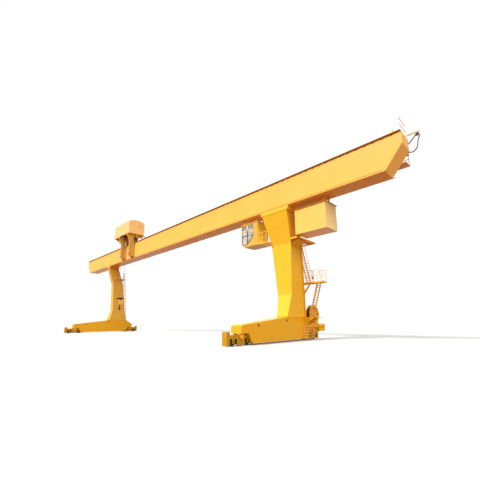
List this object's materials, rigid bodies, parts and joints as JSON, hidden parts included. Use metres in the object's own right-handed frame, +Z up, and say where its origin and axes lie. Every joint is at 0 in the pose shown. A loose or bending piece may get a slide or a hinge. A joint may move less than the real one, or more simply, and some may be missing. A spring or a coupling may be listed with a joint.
{
  "type": "gantry crane, half-scale model",
  "caption": "Half-scale gantry crane: long box girder on bent legs, side-hung trolley with hood and hook, cab, electrical room, stairs and wheeled saddle beams.",
  "frame": {"origin": "centre of the bounding box at floor level, under the girder", "axes": "+X along the girder towards the cab leg, +Y away from the hook's side, +Z up"},
  "size_m": [31.88, 6.92, 9.33],
  "materials": {
    "yellow_paint": "satin chrome yellow paint",
    "yellow_sheet": "satin yellow paint on sheet",
    "wheel_steel": "dark cast wheel with worn tread",
    "rail_steel": "worn rail steel",
    "glass": "grey tinted glass",
    "cable_rubber": "black cable sheath",
    "rope_wire": "greased wire rope",
    "black_steel": "black forged steel",
    "dark_paint": "dark grey machine paint"
  },
  "bodies": {
    "crane_frame": {"girder_webs": "yellow_paint", "girder_flanges": "yellow_paint", "girder_end_plates": "yellow_paint", "rails_and_stops": "rail_steel", "near_leg": "yellow_paint", "far_leg": "yellow_paint", "near_saddle_beam": "yellow_paint", "far_saddle_beam": "yellow_paint", "reel_frame": "yellow_paint", "junction_boxes": "yellow_paint", "back_walkway": "yellow_paint", "railings": "yellow_paint", "festoon_rail": "yellow_paint", "festoon_cable": "cable_rubber", "electrical_room": "yellow_sheet", "roofs": "yellow_sheet", "hangers": "yellow_paint", "cab_floor": "yellow_paint", "cab_side_walls": "yellow_paint", "cab_end_walls": "yellow_paint", "cab_glass": "glass", "upper_platforms": "yellow_paint", "stair_platforms": "yellow_paint", "upper_flight": "yellow_paint", "lower_flight": "yellow_paint", "ladders": "yellow_paint"},
    "near_front_bogie": {"near_front_bogie": "yellow_paint"},
    "near_back_bogie": {"near_back_bogie": "yellow_paint"},
    "far_front_bogie": {"far_front_bogie": "yellow_paint"},
    "far_back_bogie": {"far_back_bogie": "yellow_paint"},
    "near_wheel_1": {"near_wheel_1": "wheel_steel"},
    "near_wheel_2": {"near_wheel_2": "wheel_steel"},
    "near_wheel_3": {"near_wheel_3": "wheel_steel"},
    "near_wheel_4": {"near_wheel_4": "wheel_steel"},
    "far_wheel_1": {"far_wheel_1": "wheel_steel"},
    "far_wheel_2": {"far_wheel_2": "wheel_steel"},
    "far_wheel_3": {"far_wheel_3": "wheel_steel"},
    "far_wheel_4": {"far_wheel_4": "wheel_steel"},
    "reel": {"cable_reel": "yellow_paint"},
    "trolley": {"trolley_frame": "yellow_paint", "trolley_arms": "yellow_paint", "reaction_rollers": "dark_paint", "trolley_motors": "dark_paint", "hoist_drum": "dark_paint", "hood_side_panels": "yellow_sheet", "hood_end_panels": "yellow_sheet", "hood_roof": "yellow_sheet", "ropes": "rope_wire"},
    "trolley_wheel_1": {"trolley_wheel_1": "wheel_steel"},
    "trolley_wheel_2": {"trolley_wheel_2": "wheel_steel"},
    "lower_block": {"hook_block": "yellow_paint", "hook_sheaves": "black_steel"},
    "hook": {"hook": "black_steel"}
  },
  "joints": [
    {"name": "near_front_bogie_tilt", "type": "hinge", "parent": "crane_frame", "child": "near_front_bogie", "pos_m": [9.86, -2.74, 0.3], "axis": [1, 0, 0], "range_deg": [-1.5, 1.5]},
    {"name": "near_back_bogie_tilt", "type": "hinge", "parent": "crane_frame", "child": "near_back_bogie", "pos_m": [9.86, 2.11, 0.3], "axis": [1, 0, 0], "range_deg": [-1.5, 1.5]},
    {"name": "far_front_bogie_tilt", "type": "hinge", "parent": "crane_frame", "child": "far_front_bogie", "pos_m": [-10.14, -2.74, 0.3], "axis": [1, 0, 0], "range_deg": [-1.5, 1.5]},
    {"name": "far_back_bogie_tilt", "type": "hinge", "parent": "crane_frame", "child": "far_back_bogie", "pos_m": [-10.14, 2.11, 0.3], "axis": [1, 0, 0], "range_deg": [-1.5, 1.5]},
    {"name": "near_wheel_1_spin", "type": "hinge", "parent": "near_front_bogie", "child": "near_wheel_1", "pos_m": [9.86, -3.1275, 0.17], "axis": [1, 0, 0], "continuous": true},
    {"name": "near_wheel_2_spin", "type": "hinge", "parent": "near_front_bogie", "child": "near_wheel_2", "pos_m": [9.86, -2.3525, 0.17], "axis": [1, 0, 0], "continuous": true},
    {"name": "near_wheel_3_spin", "type": "hinge", "parent": "near_back_bogie", "child": "near_wheel_3", "pos_m": [9.86, 1.7225, 0.17], "axis": [1, 0, 0], "continuous": true},
    {"name": "near_wheel_4_spin", "type": "hinge", "parent": "near_back_bogie", "child": "near_wheel_4", "pos_m": [9.86, 2.4975, 0.17], "axis": [1, 0, 0], "continuous": true},
    {"name": "far_wheel_1_spin", "type": "hinge", "parent": "far_front_bogie", "child": "far_wheel_1", "pos_m": [-10.14, -3.1275, 0.17], "axis": [1, 0, 0], "continuous": true},
    {"name": "far_wheel_2_spin", "type": "hinge", "parent": "far_front_bogie", "child": "far_wheel_2", "pos_m": [-10.14, -2.3525, 0.17], "axis": [1, 0, 0], "continuous": true},
    {"name": "far_wheel_3_spin", "type": "hinge", "parent": "far_back_bogie", "child": "far_wheel_3", "pos_m": [-10.14, 1.7225, 0.17], "axis": [1, 0, 0], "continuous": true},
    {"name": "far_wheel_4_spin", "type": "hinge", "parent": "far_back_bogie", "child": "far_wheel_4", "pos_m": [-10.14, 2.4975, 0.17], "axis": [1, 0, 0], "continuous": true},
    {"name": "cable_reel_spin", "type": "hinge", "parent": "crane_frame", "child": "reel", "pos_m": [9.86, 2.61, 1.205], "axis": [1, 0, 0], "continuous": true},
    {"name": "trolley_travel", "type": "slide", "parent": "crane_frame", "child": "trolley", "axis": [1, 0, 0], "range_m": [-7.9, 19.9]},
    {"name": "trolley_wheel_1_spin", "type": "hinge", "parent": "trolley", "child": "trolley_wheel_1", "pos_m": [-6.59, -0.195, 7.5843], "axis": [0, 1, 0], "continuous": true},
    {"name": "trolley_wheel_2_spin", "type": "hinge", "parent": "trolley", "child": "trolley_wheel_2", "pos_m": [-5.015, -0.195, 7.5843], "axis": [0, 1, 0], "continuous": true},
    {"name": "hoist_lift", "type": "slide", "parent": "trolley", "child": "lower_block", "axis": [0, 0, 1], "range_m": [-1.8, 4.6], "deforming": ["ropes"]},
    {"name": "hook_swivel", "type": "hinge", "parent": "lower_block", "child": "hook", "pos_m": [-6.09, -0.675, 2.3], "axis": [0, 0, 1], "continuous": true}
  ]
}
